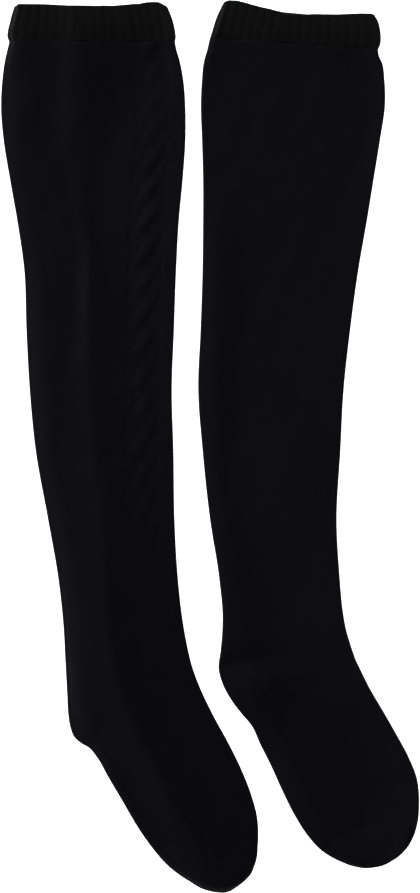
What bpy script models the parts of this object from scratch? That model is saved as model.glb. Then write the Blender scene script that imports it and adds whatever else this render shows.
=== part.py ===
"""A pair of long knit socks, laid flat side by side. For Blender 4.5, in metres, +Z up.

The socks lie on z = 0 with their cuffs towards +Y and their toes towards -Y. Each is knitted as one
tube, here a cuff, a leg and a foot. Laid flat it has two layers: an under layer that rests on the
surface and a top layer that carries the relief.
The tube's plan is a short table of sections. Each section is a straight line from the back fold edge
(calf, heel, sole) to the front fold edge (shin, instep), and they fan out round the heel.
All sizes below are in millimetres and become metres where the points are made.
"""
from collections import namedtuple

import bmesh
import bpy
import numpy as np

MM = 0.001

# The knit
WALL = 1.8                      # thickness of one layer
SLIT = 0.6                      # air between the layers beside a fold edge
EDGE = WALL + 0.5 * SLIT        # radius of the rounded fold edge
LIFT = 1.2                      # how far the top layer springs up away from the fold edges
LIFT_REACH = 24.0               # distance from a fold edge over which it springs up
LEAST_SLIT = 0.4                # air that stays between the layers in the deepest trough
SEAM = 0.35                     # gap between a cuff and its leg
HEEL_SEAM = 0.5                 # and between a leg and its foot halfway, narrower at the instep

# The plan of each sock: its leg from the cuff down to the top of the heel, then its foot to the toe
Section = namedtuple("Section", "back_x back_y front_x front_y")
LEFT_LEG = [
    Section(-184.6, 372.2, -32.2, 372.2),       # cuff seam
    Section(-186.4, 364.5, -30.6, 364.5),
    Section(-188.1, 357.5, -28.5, 357.5),
    Section(-191.0, 337.5, -24.5, 337.5),
    Section(-192.2, 309.5, -22.5, 309.5),       # thigh, the widest place
    Section(-190.0, 282.5, -22.5, 282.5),
    Section(-184.0, 245.5, -25.0, 245.5),
    Section(-177.5, 208.5, -28.5, 208.5),
    Section(-171.0, 162.5, -31.0, 162.5),       # knee
    Section(-169.0, 107.5, -33.0, 107.5),
    Section(-166.0, 52.5, -35.0, 52.5),
    Section(-160.5, -3.5, -33.5, -3.5),         # calf
    Section(-149.0, -67.5, -32.5, -67.5),
    Section(-139.5, -122.5, -29.5, -120.0),     # ankle
    Section(-135.0, -164.0, -25.5, -156.5),
    Section(-133.0, -200.5, -20.5, -185.0),     # top of the heel
]
LEFT_FOOT = [
    Section(-131.5, -228.5, -16.5, -201.5),
    Section(-130.5, -246.5, -14.0, -209.0),     # heel
    Section(-128.2, -259.5, -11.9, -214.8),
    Section(-125.2, -266.8, -10.4, -218.4),
    Section(-118.8, -272.6, -8.5, -223.0),
    Section(-111.0, -277.2, -6.8, -226.8),
    Section(-104.8, -284.5, -4.4, -232.0),
    Section(-94.0, -303.0, 4.6, -250.0),        # arch
    Section(-81.0, -325.0, 17.0, -272.5),
    Section(-67.0, -349.0, 29.0, -297.0),
    Section(-53.5, -368.5, 38.0, -320.0),       # ball of the foot
    Section(-37.0, -387.0, 43.8, -343.5),
    Section(-19.5, -399.5, 44.2, -365.5),
    Section(-2.0, -408.4, 41.0, -385.5),        # toe
    Section(8.0, -410.1, 36.3, -395.0),
    Section(14.5, -410.2, 31.8, -399.6),
    Section(19.0, -408.9, 27.5, -403.2),
]
RIGHT_LEG = [
    Section(-0.3, 375.2, 154.4, 364.9),         # cuff seam
    Section(-2.8, 364.5, 155.6, 358.5),
    Section(-5.3, 356.0, 158.2, 353.0),
    Section(-7.5, 337.5, 160.5, 336.5),
    Section(-8.5, 314.5, 161.0, 314.5),         # thigh, the widest place
    Section(-7.5, 282.5, 156.5, 282.5),
    Section(-6.5, 245.5, 150.5, 245.5),
    Section(-6.5, 208.5, 144.5, 208.5),
    Section(-7.0, 162.5, 136.5, 162.5),         # knee
    Section(-8.8, 107.5, 129.0, 107.5),
    Section(-11.0, 52.5, 123.0, 52.5),
    Section(-7.0, -3.0, 120.0, -3.0),           # calf
    Section(0.0, -67.5, 116.5, -67.5),
    Section(8.5, -122.5, 119.2, -118.5),        # ankle
    Section(11.5, -159.5, 122.0, -149.5),
    Section(9.7, -187.0, 125.3, -168.5),        # top of the heel
]
RIGHT_FOOT = [
    Section(7.8, -203.5, 127.0, -174.5),        # heel
    Section(11.5, -218.0, 129.0, -181.0),
    Section(19.5, -233.0, 131.3, -188.0),
    Section(28.5, -245.0, 134.0, -195.5),
    Section(37.0, -255.0, 138.0, -204.0),
    Section(46.5, -274.5, 147.5, -223.0),       # arch
    Section(56.5, -294.5, 159.0, -242.5),
    Section(66.0, -315.5, 170.7, -263.0),
    Section(77.5, -338.5, 182.8, -285.5),       # ball of the foot
    Section(90.0, -358.0, 190.6, -306.5),
    Section(104.0, -372.5, 192.2, -328.0),
    Section(120.0, -381.5, 190.7, -345.5),
    Section(134.0, -386.3, 186.5, -359.0),      # toe
    Section(145.5, -387.5, 180.5, -369.0),
    Section(155.5, -386.0, 174.2, -375.6),
    Section(161.2, -384.5, 170.4, -379.1),
]

# The plan of each cuff, from its seam to its free edge, and how that edge waves. A point of the
# edge is named by its share of the way from the back to the front
LEFT_CUFF = [
    Section(-184.6, 372.2, -32.2, 372.2),
    Section(-186.2, 376.5, -31.4, 376.5),
    Section(-185.9, 382.0, -32.0, 382.0),
    Section(-184.2, 389.0, -33.4, 389.0),
    Section(-182.4, 396.5, -35.8, 396.5),
    Section(-180.2, 403.6, -38.8, 403.6),
]
RIGHT_CUFF = [
    Section(-0.3, 375.2, 154.4, 364.9),
    Section(1.0, 379.0, 156.4, 369.2),
    Section(2.9, 385.3, 157.0, 375.6),
    Section(5.2, 392.7, 156.0, 384.2),
    Section(8.2, 400.0, 153.9, 391.6),
    Section(10.6, 404.5, 151.4, 395.4),
]
Wave = namedtuple("Wave", "share rise")
LEFT_WAVE = [
    Wave(0.0, 0.0), Wave(0.03, 2.6), Wave(0.2, 2.8), Wave(0.35, 1.4), Wave(0.55, 1.4),
    Wave(0.72, 3.2), Wave(0.86, 5.4), Wave(0.94, 4.9), Wave(1.0, 0.0),
]
RIGHT_WAVE = [
    Wave(0.0, 0.0), Wave(0.02, 4.6), Wave(0.05, 6.2), Wave(0.1, 6.4), Wave(0.2, 4.0), Wave(0.32, 1.8),
    Wave(0.42, -1.2), Wave(0.55, -1.7), Wave(0.75, -0.6), Wave(0.9, 1.3), Wave(0.97, 1.6), Wave(1.0, 0.0),
]
WAVE_REACH = 14.0               # length of cuff over which the wave dies away

# Ribs of the cuffs
RIBS = 17
RIB_RISE = 1.2
RIB_STEPS = 4                   # points across one rib
RIB_SHAPE = 0.7                 # below 1 the crest is round and the groove sharp

# Rope cable down the left leg, on the side that shows
CABLE_PITCH = 28.5              # length of one crossing
CROSSINGS = 18
CABLE_SWING = 5.6               # how far a strand's middle swings from the cable's middle
STRAND = 6.9                    # half the width of a strand
CABLE_RISE = 2.6
CABLE_END = CROSSINGS * CABLE_PITCH
CABLE_FADE = 12.0               # length over which the cable flattens at its lower end
CABLE_LOW = 0.45                # share of the rise that a strand keeps as it passes behind
GROOVE = 15.0                   # distance of the sunk purl lines from the cable's middle
GROOVE_HALF = 3.0
GROOVE_DEPTH = 0.6
CABLE_ZONE = GROOVE + GROOVE_HALF
CABLE_COLUMNS = [-18.0, -15.0, -12.5, -9.4, -6.3, -3.1, 0.0, 3.1, 6.3, 9.4, 12.5, 15.0, 18.0]
CABLE_STEPS = 8                 # sections in one crossing
CablePlace = namedtuple("CablePlace", "down share")
CABLE_PLACES = [
    CablePlace(0.0, 0.84), CablePlace(130.0, 0.807), CablePlace(235.0, 0.794), CablePlace(330.0, 0.792),
    CablePlace(395.0, 0.765), CablePlace(510.0, 0.76), CablePlace(900.0, 0.76),
]
NARROW = 110.0                  # a section narrower than this squeezes its columns together

# Soft folds of the top layer. Each is a line on the plan with its rise (a trough has a negative
# one) and its reach to either side, left and right of someone who walks along it
FoldPoint = namedtuple("FoldPoint", "x y rise left right")
LEFT_FOLDS = [
    [   # the long ridge that runs from the cuff to the toe
        FoldPoint(-127.0, 372.0, 1.6, 24.0, 12.0),
        FoldPoint(-128.5, 320.0, 2.2, 24.0, 12.0),
        FoldPoint(-121.0, 268.0, 1.0, 26.0, 16.0),
        FoldPoint(-115.0, 218.0, 1.8, 26.0, 14.0),
        FoldPoint(-119.0, 180.0, 2.4, 24.0, 14.0),
        FoldPoint(-118.0, 103.0, 2.6, 24.0, 14.0),
        FoldPoint(-113.0, 15.0, 2.6, 24.0, 14.0),
        FoldPoint(-106.0, -31.0, 2.6, 22.0, 14.0),
        FoldPoint(-101.0, -104.0, 2.4, 20.0, 14.0),
        FoldPoint(-94.0, -178.0, 2.2, 20.0, 16.0),
        FoldPoint(-84.0, -224.0, 2.0, 22.0, 18.0),
        FoldPoint(-64.0, -270.0, 2.0, 22.0, 18.0),
        FoldPoint(-41.0, -325.0, 2.0, 20.0, 18.0),
        FoldPoint(-26.0, -371.0, 0.6, 16.0, 16.0),
    ],
]
RIGHT_FOLDS = [
    [   # shallow trough beside the calf's fold edge
        FoldPoint(9.0, 190.0, -0.2, 14.0, 14.0),
        FoldPoint(9.5, 130.0, -0.9, 14.0, 14.0),
        FoldPoint(11.0, 25.0, -1.0, 14.0, 14.0),
        FoldPoint(23.0, -104.0, -0.6, 12.0, 12.0),
    ],
    [   # crease across the back of the ankle, above the heel
        FoldPoint(12.0, -172.0, -0.5, 9.0, 9.0),
        FoldPoint(28.0, -183.0, -1.4, 10.0, 10.0),
        FoldPoint(55.0, -203.0, -1.2, 10.0, 10.0),
        FoldPoint(72.0, -212.0, -0.2, 8.0, 8.0),
    ],
    [   # the heel pocket, puffed up
        FoldPoint(10.0, -214.0, 0.4, 14.0, 16.0),
        FoldPoint(24.0, -219.0, 2.6, 20.0, 24.0),
        FoldPoint(42.0, -224.0, 2.0, 20.0, 24.0),
        FoldPoint(62.0, -222.0, 0.3, 14.0, 16.0),
    ],
]

# How finely the tubes are made
LEG_STEP = 0.5 * CABLE_PITCH    # distance of the sections down a leg
ANKLE = CABLE_PITCH * (CROSSINGS + 0.5)
FOOT_STEP = 9.0                 # distance of the sections below the ankle
TOP_COLUMNS = 17                # points across the top layer of a plain tube
BACK_COLUMNS = 12               # points between the back edge and the cable
FRONT_COLUMNS = 3               # points between the cable and the front edge
INSIDE_COLUMNS = 8
UNDER_COLUMNS = 2               # points across the flat under layer of a leg
WAVY_COLUMNS = 16               # and of a cuff, whose free edge waves
INSIDE_STEP = 24.0
INSIDE_MARGIN = 1.9             # from the fold edge to the inside of the wall
INSIDE_SHARE = 0.2              # the most of a narrow section that this margin takes
TOE_WALL = 5.0                  # from the tip of the toe to the end of the inside
TOE_REACH = 2.0 * EDGE          # length over which the tip rounds down
TOE_TIP = 0.25                  # share of its thickness that the very tip keeps
TOE_RINGS = [1.0, 0.6, 0.25, 0.0]               # shares of that length that have a section
EDGE_TURNS = [-45.0, 0.0, 45.0]                 # points round a fold edge, in degrees
SHARP_ANGLE = 50.0              # edges that turn by more than this look sharp

# Finish
BLACK_KNIT = (0.012, 0.0118, 0.0138, 1.0)
KNIT_ROUGHNESS = 0.92


def smooth_curve(places, rows, place):
    """A smooth curve through rows, one at each of the places, read at one place."""
    rows = np.asarray(rows, float)
    places = np.asarray(places, float)
    slopes = np.gradient(rows, places, axis=0)
    i = int(np.clip(np.searchsorted(places, place) - 1, 0, len(places) - 2))
    step = places[i + 1] - places[i]
    t = (place - places[i]) / step
    start = (2 * t**3 - 3 * t**2 + 1) * rows[i] + (t**3 - 2 * t**2 + t) * step * slopes[i]
    end = (3 * t**2 - 2 * t**3) * rows[i + 1] + (t**3 - t**2) * step * slopes[i + 1]
    return start + end


def fold_height(folds, x, y):
    """How far the folds raise or sink the top layer at a point of the plan."""
    height = 0.0
    point = np.array([x, y])
    for fold in folds:
        rows = np.array(fold)
        nearest = None
        for start, end in zip(rows[:-1], rows[1:]):
            way = end[:2] - start[:2]
            share = float(np.clip((point - start[:2]) @ way / (way @ way), 0.0, 1.0))
            here = start + share * (end - start)
            off = point - here[:2]
            distance = float(np.hypot(*off))
            if nearest is None or distance < nearest[0]:
                on_left = way[0] * off[1] - way[1] * off[0] > 0.0
                nearest = (distance, here[2], here[3] if on_left else here[4])
        distance, rise, reach = nearest
        if distance < reach:
            height += rise * np.cos(0.5 * np.pi * distance / reach) ** 2
    return height


class Tube:
    """A knitted tube laid flat: the plan of its fold edges and the height of its top layer.
    Of a whole sock, heel is the distance down at which its leg ends and its foot starts."""

    def __init__(self, leg, foot=(), folds=()):
        self.rows = np.array(leg + list(foot))
        middle = 0.5 * (self.rows[:, 0:2] + self.rows[:, 2:4])
        steps = np.linalg.norm(np.diff(middle, axis=0), axis=1)
        self.places = np.concatenate([[0.0], np.cumsum(steps)])
        self.length = float(self.places[-1])
        self.heel = float(self.places[len(leg) - 1])
        self.folds = folds

    def section(self, down):
        """The back end, the direction to the front, and the width of the section there."""
        ends = smooth_curve(self.places, self.rows, down)
        way = ends[2:] - ends[:2]
        width = float(np.linalg.norm(way))
        return ends[:2], way / width, width

    def top(self, down, across):
        """Height of the plain top layer at a distance across from the back edge."""
        back, way, width = self.section(down)
        inward = min(across, width - across)
        lift = LIFT * np.sin(0.5 * np.pi * min(1.0, max(0.0, inward - EDGE) / LIFT_REACH))
        fade = min(1.0, max(0.0, inward - EDGE) / EDGE)
        x, y = back + way * across
        height = 2 * EDGE + lift + fade * fold_height(self.folds, x, y)
        return max(height, 2 * WALL + LEAST_SLIT)


def half_round():
    """Points of a fold edge from below to above: distance inward and height."""
    turns = np.radians(EDGE_TURNS)
    return [(EDGE * (1.0 - np.cos(a)), EDGE * (1.0 + np.sin(a))) for a in turns]


def toe_squeeze(left_over):
    """Share of its thickness that the tube keeps at a distance from its tip."""
    if left_over >= TOE_REACH:
        return 1.0
    return float(np.sqrt(1.0 - (1.0 - TOE_TIP**2) * (1.0 - left_over / TOE_REACH) ** 2))


def outside_ring(tube, down, tops, unders=UNDER_COLUMNS, shift=None, squeeze=1.0):
    """Points round the outside of the wall, under layer first. tops gives the top layer's
    points from the front to the back as pairs of distance across and height."""
    back, way, width = tube.section(down)
    ring = [(a, 0.0) for a in np.linspace(EDGE, width - EDGE, unders)]
    ring += [(width - inward, height) for inward, height in half_round()]
    ring += tops
    ring += [(inward, height) for inward, height in reversed(half_round())]
    return place_ring(ring, back, way, width, shift, squeeze)


def inside_ring(tube, down, unders=UNDER_COLUMNS, shift=None):
    """Points round the plain inside of the wall, in the same order as the outside."""
    back, way, width = tube.section(down)
    margin = min(INSIDE_MARGIN, INSIDE_SHARE * width)
    across = np.linspace(width - margin, margin, max(INSIDE_COLUMNS, unders))
    ring = [(a, WALL) for a in np.linspace(margin, width - margin, unders)]
    ring += [(a, tube.top(down, a) - WALL) for a in across]
    return place_ring(ring, back, way, width, shift, 1.0)


def place_ring(ring, back, way, width, shift, squeeze):
    """Points of a ring in space, from their distance across and height."""
    up = np.array([-way[1], way[0]])
    points = []
    for across, height in ring:
        x, y = back + way * across
        if shift is not None:
            x, y = (x, y) + up * shift(across / width)
        points.append((x * MM, y * MM, (EDGE + (height - EDGE) * squeeze) * MM))
    return points


def tube_faces(bm, columns):
    """Faces between neighbouring columns, all the way round. A column is a list of intervals,
    and an interval holds the column's points from one section to the next. A coarse column
    beside a fine one gets one face with many corners in each interval."""
    for left, right in zip(columns, columns[1:] + columns[:1]):
        for a, b in zip(left, right):
            if len(a) != len(b):
                bm.faces.new(b + a[::-1])
                continue
            for k in range(len(a) - 1):
                bm.faces.new((b[k], b[k + 1], a[k + 1], a[k]))


def columns_of(bm, rings, finer=None):
    """Columns through the rings, and the points of the first and last ring. For each interval
    finer maps a column's number to its points between the two rings."""
    verts = [[bm.verts.new(p) for p in ring] for ring in rings]
    columns = []
    for c in range(len(rings[0])):
        column = []
        for i in range(len(rings) - 1):
            between = [bm.verts.new(p) for p in finer[i][c]] if finer and c in finer[i] else []
            column.append([verts[i][c]] + between + [verts[i + 1][c]])
        columns.append(column)
    return columns, verts[0], verts[-1]


def close_mouth(bm, outside, inside):
    """The cut end of the wall: triangles between its outer and its inner ring, which start
    beside each other, always over the shorter of the two next ways across."""
    i = j = 0
    while i < len(outside) or j < len(inside):
        a, a_next = outside[i % len(outside)], outside[(i + 1) % len(outside)]
        b, b_next = inside[j % len(inside)], inside[(j + 1) % len(inside)]
        outer_is_short = (a_next.co - b.co).length <= (b_next.co - a.co).length
        if j == len(inside) or (i < len(outside) and outer_is_short):
            bm.faces.new((a, a_next, b))
            i += 1
        else:
            bm.faces.new((a, b_next, b))
            j += 1


def make_piece(name, bm, material):
    """An object of the finished mesh, with its faces pointing out."""
    bmesh.ops.recalc_face_normals(bm, faces=bm.faces)
    mesh = bpy.data.meshes.new(name)
    bm.to_mesh(mesh)
    bm.free()
    mesh.shade_smooth()
    mesh.set_sharp_from_angle(angle=np.radians(SHARP_ANGLE))
    mesh.materials.append(material)
    piece = bpy.data.objects.new(name, mesh)
    bpy.context.collection.objects.link(piece)
    return piece


def knit_material(name):
    """Near-black matt knit."""
    material = bpy.data.materials.new(name)
    material.use_nodes = True
    shader = material.node_tree.nodes["Principled BSDF"]
    shader.inputs["Base Color"].default_value = BLACK_KNIT
    shader.inputs["Roughness"].default_value = KNIT_ROUGHNESS
    shader.inputs["Metallic"].default_value = 0.0
    return material


def cable_height(down, off):
    """Height of the rope cable and its sunk lines, at a distance from the cable's middle."""
    if down > CABLE_END:
        return 0.0
    turn = np.pi * down / CABLE_PITCH
    height = 0.0
    for strand_turn in (turn, turn + np.pi):
        middle = CABLE_SWING * np.cos(strand_turn)
        rise = CABLE_RISE * (CABLE_LOW + (1.0 - CABLE_LOW) * np.sin(strand_turn))
        round_off = max(0.0, 1.0 - ((off - middle) / STRAND) ** 2)
        height = max(height, rise * np.sqrt(round_off))
    sunk = max(0.0, 1.0 - abs(abs(off) - GROOVE) / GROOVE_HALF)
    fade = min(1.0, (CABLE_END - down) / CABLE_FADE)
    return fade * (height - GROOVE_DEPTH * sunk)


def cable_middle(down, width):
    """Distance of the cable's middle from the back edge."""
    places = [place.down for place in CABLE_PLACES]
    shares = [place.share for place in CABLE_PLACES]
    return width * float(smooth_curve(places, shares, down))


def cabled_tops(tube, down):
    """Points of the left leg's top layer, from the front edge over the cable to the back edge."""
    width = tube.section(down)[2]
    squeeze = min(1.0, width / NARROW)
    middle = cable_middle(down, width)
    low, high = middle - squeeze * CABLE_ZONE, middle + squeeze * CABLE_ZONE
    front = np.linspace(width - EDGE, high, FRONT_COLUMNS + 1)[:-1]
    back = np.linspace(low, EDGE, BACK_COLUMNS + 1)[1:]
    tops = [(a, tube.top(down, a)) for a in front]
    for off in reversed(CABLE_COLUMNS):
        across = middle + squeeze * off
        tops.append((across, tube.top(down, across) + cable_height(down, off)))
    tops += [(a, tube.top(down, a)) for a in back]
    return tops


def plain_tops(tube, down):
    """Points of a plain top layer, from the front edge to the back edge."""
    width = tube.section(down)[2]
    across = np.linspace(width - EDGE, EDGE, TOP_COLUMNS)
    return [(a, tube.top(down, a)) for a in across]


def leg_stations(tube):
    """Distances down the tube at which the leg has a section, closer together at the ankle."""
    leg = list(np.arange(0.0, ANKLE, LEG_STEP))
    leg[0] = 0.5 * SEAM
    steps = int(np.ceil((tube.heel - ANKLE) / FOOT_STEP))
    return leg + list(np.linspace(ANKLE, tube.heel - 0.5 * HEEL_SEAM, steps + 1))


def foot_stations(tube):
    """The same for the foot, closest at the tip of the toe."""
    toe = [tube.length - share * TOE_REACH for share in TOE_RINGS]
    steps = int(np.ceil((toe[0] - tube.heel) / FOOT_STEP))
    return list(np.linspace(tube.heel + 0.5 * HEEL_SEAM, toe[0], steps + 1)) + toe[1:]


def make_stretch(name, tube, stations, tops_at, material):
    """A stretch of a sock as one wall: open at both ends, or closed where it ends in the toe."""
    closed = stations[-1] == tube.length
    cabled = tops_at is cabled_tops

    def ring(down):
        return outside_ring(tube, down, tops_at(tube, down), squeeze=toe_squeeze(tube.length - down))

    finer = None
    if cabled:
        first = UNDER_COLUMNS + len(EDGE_TURNS) + FRONT_COLUMNS
        cable = range(first + 1, first + len(CABLE_COLUMNS) - 1)
        finer = []
        for start, end in zip(stations[:-1], stations[1:]):
            inner = CABLE_STEPS // 2 if start < CABLE_END else 1
            between = [ring(down) for down in np.linspace(start, end, inner + 1)[1:-1]]
            finer.append({c: [r[c] for r in between] for c in cable})
    bm = bmesh.new()
    outer, start_out, end_out = columns_of(bm, [ring(down) for down in stations], finer)
    tube_faces(bm, outer)
    inside_end = tube.length - TOE_WALL if closed else stations[-1]
    steps = int(round((inside_end - stations[0]) / INSIDE_STEP))
    depths = np.linspace(stations[0], inside_end, steps + 1)
    inner, start_in, end_in = columns_of(bm, [inside_ring(tube, d) for d in depths])
    tube_faces(bm, inner[::-1])
    close_mouth(bm, start_out, start_in)
    if closed:
        bm.faces.new(end_out)
        bm.faces.new(end_in)
    else:
        close_mouth(bm, end_out, end_in)
    return make_piece(name, bm, material)


def make_cuff(name, tube, wave, material):
    """A ribbed cuff: a short tube, open at both ends, with a wavy free edge."""
    shares = [point.share for point in wave]
    rises = [point.rise for point in wave]

    def edge_wave(down):
        fade = max(0.0, 1.0 - (tube.length - down) / WAVE_REACH) ** 2
        return lambda share: fade * float(np.interp(share, shares, rises))

    def tops_at(down):
        width = tube.section(down)[2]
        across = np.linspace(width - EDGE, EDGE, RIBS * RIB_STEPS + 1)
        tops = []
        for k, a in enumerate(across):
            rib = abs(np.sin(np.pi * k / RIB_STEPS)) ** RIB_SHAPE
            tops.append((a, tube.top(down, a) + RIB_RISE * rib))
        return tops

    stations = np.concatenate([[0.5 * SEAM], tube.places[1:]])
    bm = bmesh.new()
    outside = [outside_ring(tube, d, tops_at(d), WAVY_COLUMNS, edge_wave(d)) for d in stations]
    inside = [inside_ring(tube, d, WAVY_COLUMNS, edge_wave(d)) for d in stations]
    outer, low_out, high_out = columns_of(bm, outside)
    inner, low_in, high_in = columns_of(bm, inside)
    tube_faces(bm, outer)
    tube_faces(bm, inner[::-1])
    close_mouth(bm, low_out, low_in)
    close_mouth(bm, high_out, high_in)
    return make_piece(name, bm, material)


def centre(pieces):
    """Put the origin under the middle of the pair."""
    points = np.array([v.co[:] for piece in pieces for v in piece.data.vertices])
    middle = 0.5 * (points.min(axis=0) + points.max(axis=0))
    for piece in pieces:
        for vertex in piece.data.vertices:
            vertex.co.x -= middle[0]
            vertex.co.y -= middle[1]


for old in list(bpy.data.objects):
    bpy.data.objects.remove(old, do_unlink=True)

knit = knit_material("black_knit")
left = Tube(LEFT_LEG, LEFT_FOOT, LEFT_FOLDS)
right = Tube(RIGHT_LEG, RIGHT_FOOT, RIGHT_FOLDS)
pair = [
    make_cuff("left_sock_cuff", Tube(LEFT_CUFF), LEFT_WAVE, knit),
    make_stretch("left_sock_leg", left, leg_stations(left), cabled_tops, knit),
    make_stretch("left_sock_foot", left, foot_stations(left), cabled_tops, knit),
    make_cuff("right_sock_cuff", Tube(RIGHT_CUFF), RIGHT_WAVE, knit),
    make_stretch("right_sock_leg", right, leg_stations(right), plain_tops, knit),
    make_stretch("right_sock_foot", right, foot_stations(right), plain_tops, knit),
]
centre(pair)
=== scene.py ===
"""The finished look of a pair of long knit socks, laid flat side by side and seen from straight above.

Sizes are in millimetres and become metres where a mesh, a light or the camera is made.
"""

import bpy
import numpy as np
from collections import namedtuple
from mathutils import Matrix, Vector


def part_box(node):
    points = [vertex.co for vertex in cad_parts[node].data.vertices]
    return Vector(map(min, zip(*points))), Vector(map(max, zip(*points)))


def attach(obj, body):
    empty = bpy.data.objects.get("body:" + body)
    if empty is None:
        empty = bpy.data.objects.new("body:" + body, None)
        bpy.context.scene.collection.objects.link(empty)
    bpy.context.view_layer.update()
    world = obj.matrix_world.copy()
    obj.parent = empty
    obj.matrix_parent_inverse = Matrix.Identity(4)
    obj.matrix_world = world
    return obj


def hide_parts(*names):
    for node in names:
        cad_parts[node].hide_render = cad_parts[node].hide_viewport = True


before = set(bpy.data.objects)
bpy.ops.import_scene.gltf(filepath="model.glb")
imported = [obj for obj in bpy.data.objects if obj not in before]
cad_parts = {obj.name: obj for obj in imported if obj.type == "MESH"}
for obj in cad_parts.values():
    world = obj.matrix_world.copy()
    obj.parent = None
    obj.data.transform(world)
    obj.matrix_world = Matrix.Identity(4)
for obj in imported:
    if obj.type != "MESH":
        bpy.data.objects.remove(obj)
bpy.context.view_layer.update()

# The view: a camera straight above the middle of the pair, as far off as its lens asks for
MM = 0.001                      # one millimetre, in metres
PICTURE = (420, 893)            # the picture's width and height in pixels
PIXEL = 0.92                    # real size of one of its pixels, at the outline's height
PICTURE_MIDDLE = 0.34           # how far up the pair the picture's middle lies
OUTLINE_HEIGHT = 2.1            # about where most of the rounded fold edges are widest
SENSOR = 36.0
LENS = 100.0

view_distance = PICTURE[1] * PIXEL * LENS / SENSOR
camera = bpy.data.objects.new("camera", bpy.data.cameras.new("camera"))
camera.data.sensor_width = SENSOR
camera.data.lens = LENS
camera.location = Vector((0.0, PICTURE_MIDDLE, OUTLINE_HEIGHT + view_distance)) * MM
bpy.context.scene.collection.objects.link(camera)
bpy.context.scene.camera = camera

# The surface under the socks: a plain white table, bright enough that it shows no shadow
FLOOR_HALF = 6000.0
FLOOR_GAP = 0.3                 # the table lies this far under the cloth
FLOOR_WHITE = (0.9, 0.9, 0.9, 1.0)
FLOOR_ROUGHNESS = 0.9
FLOOR_GLOW = 1.6
GLOW_WHITE = (1.0, 1.0, 1.0, 1.0)

bpy.ops.object.select_all(action="DESELECT")
bpy.ops.mesh.primitive_plane_add(size=2 * FLOOR_HALF * MM, location=(0, 0, -FLOOR_GAP * MM))
table = bpy.context.object
table.name = "table"
white = bpy.data.materials.new("white_table")
white.use_nodes = True
surface = white.node_tree.nodes["Principled BSDF"]
surface.inputs["Base Color"].default_value = FLOOR_WHITE
surface.inputs["Roughness"].default_value = FLOOR_ROUGHNESS
surface.inputs["Emission Color"].default_value = GLOW_WHITE
surface.inputs["Emission Strength"].default_value = FLOOR_GLOW
table.data.materials.append(white)

# Soft studio light: a wide, low lamp to the upper left, a weaker one to the right and an even sky
KEY_PLACE = (-4250.0, 2250.0, 1520.0)
KEY_SIZE = 2600.0
KEY_POWER = 196.0
FILL_PLACE = (2600.0, -600.0, 3000.0)
FILL_SIZE = 3000.0
FILL_POWER = 12.0
SKY_GREY = 0.05


def soft_lamp(name, place, size, power):
    """A square lamp that shines on the middle of the pair."""
    lamp = bpy.data.lights.new(name, "AREA")
    lamp.shape = "SQUARE"
    lamp.size = size * MM
    lamp.energy = power
    holder = bpy.data.objects.new(name, lamp)
    holder.location = Vector(place) * MM
    holder.rotation_euler = (-Vector(place)).to_track_quat("-Z", "Y").to_euler()
    bpy.context.scene.collection.objects.link(holder)


soft_lamp("key_lamp", KEY_PLACE, KEY_SIZE, KEY_POWER)
soft_lamp("fill_lamp", FILL_PLACE, FILL_SIZE, FILL_POWER)
sky = bpy.data.worlds.new("studio")
sky.use_nodes = True
sky.node_tree.nodes["Background"].inputs["Color"].default_value = (SKY_GREY, SKY_GREY, SKY_GREY, 1.0)
bpy.context.scene.world = sky
bpy.context.scene.view_settings.view_transform = "Standard"

# The left sock, leg and foot: one fine black tube with no side seam, knitted from the cuff down.
# A rope cable runs down its outer side between two sunk purl lines, the heel is turned, and the toe
# is closed. Laid flat it is two layers, which meet in a rounded fold at the calf and at the shin.
WALL = 1.8                      # thickness of one layer
CALF_TURN = 1.5                 # how far the rounded fold at the calf curves in
SHIN_TURN = 1.6                 # and the one at the shin
MIDDLE_HEIGHT = 6.2             # of the top layer between its folds
CALF_REACH = 18.0               # over which it springs up from the calf's fold
FADE_CALF = 4.0                 # over which the soft folds fade out towards the calf's fold
FADE_SHIN = 12.0
FADE_NARROW = (0.04, 0.12)      # both are no more than these shares of the width, as at the toe
FOLD_SOFTNESS = 3.5             # how far from its crest even a sharp fold stays rounded
FOLD_STEP = 12.0                # length of the straight steps that a fold's line is read in
FOLD_BLEND = 2.0                # how softly one step's rise and reach run into the next one's
LEAST_AIR = 0.4                 # what stays open between the layers in the deepest trough
SEAM_GAP = 0.35                 # the solids stand this far apart at the cuff seam
TUCK = 0.3                      # length of leg that goes into the cuff
SEAM_DIP = 0.12                 # how far the cloth is drawn down at the cuff seam
SEAM_DIP_REACH = 4.0
TOE_REACH = 3.2                 # length over which the tip of the toe rounds down
TOE_TIP = 0.2                   # share of its thickness that the very tip keeps
TOE_MIDDLE = 2.1                # height that the tip rounds down to
TOE_WALL = 5.0                  # from the tip of the toe to the end of the inside
INSIDE_NARROW = 0.2             # the inside's margin is no more than this share of the width
TURN_LENGTH = 1.2               # length round a fold edge, against an arc of its turn's radius
AREA_STEPS = 400                # steps down the tube in which its area is read
RING_STEP = 1.3                 # distance of the rings down the tube
INSIDE_RINGS = 10               # one ring of the inside faces so many of the outside
FOLD_TURNS = np.radians(np.linspace(-75.0, 75.0, 9))        # points round a fold edge
UNDER_COLUMNS = 6               # points across the flat under layer
FIRST_TOP = UNDER_COLUMNS + len(FOLD_TURNS)                 # number of the top layer's first point
WALES = 102                     # columns of stitches across one layer
COURSE = 1.3                    # height of one row of stitches

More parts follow.
